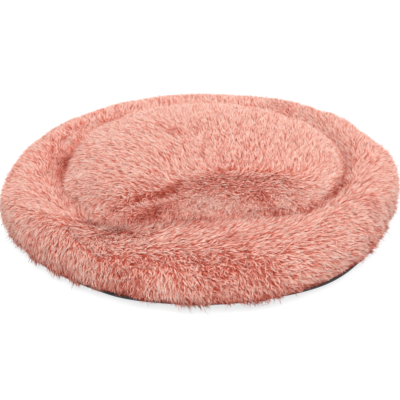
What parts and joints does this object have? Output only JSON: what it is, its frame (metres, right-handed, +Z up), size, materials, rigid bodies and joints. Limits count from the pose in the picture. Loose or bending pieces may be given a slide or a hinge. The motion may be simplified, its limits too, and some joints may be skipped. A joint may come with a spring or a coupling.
{
  "type": "donut pet bed",
  "caption": "Round pet bed with a low bolster ring round a domed centre pad, in long-pile fur, on a zipped cloth base.",
  "frame": {"origin": "on the floor, under the middle of the bed", "axes": "+Z up, +X to the right and +Y to the back as seen in the picture; the zip under the base runs along X"},
  "size_m": [0.988, 0.985, 0.152],
  "materials": {
    "fur": "matte",
    "base_cloth": "matte",
    "bag_cloth": "matte",
    "filling": "matte",
    "zip_tape": "matte",
    "zip_coil": "satin",
    "zip_metal": "satin"
  },
  "bodies": {
    "bed": {"ring_fur_right": "fur", "ring_fur_back": "fur", "ring_fur_left": "fur", "ring_fur_front": "fur", "centre_fur": "fur", "base_cloth_front": "base_cloth", "base_cloth_back": "base_cloth", "inner_bag_top": "bag_cloth", "inner_bag_base": "bag_cloth", "baffle_wall": "bag_cloth", "ring_filling": "filling", "pad_filling": "filling", "zip_tape_front": "zip_tape", "zip_tape_back": "zip_tape", "zip_coil_front": "zip_coil", "zip_coil_back": "zip_coil", "zip_top_stop_front": "zip_metal", "zip_top_stop_back": "zip_metal", "zip_bottom_stop": "zip_metal"},
    "slider": {"zip_slider": "zip_metal"},
    "pull_tab": {"zip_pull_tab": "zip_metal"}
  },
  "joints": [
    {"name": "zip_slide", "type": "slide", "parent": "bed", "child": "slider", "axis": [-1, 0, 0], "range_m": [0, 0.5536]},
    {"name": "tab_hinge", "type": "hinge", "parent": "slider", "child": "pull_tab", "pos_m": [0.2768, 0, 0.003], "axis": [0, -1, 0], "range_deg": [0, 180]}
  ]
}
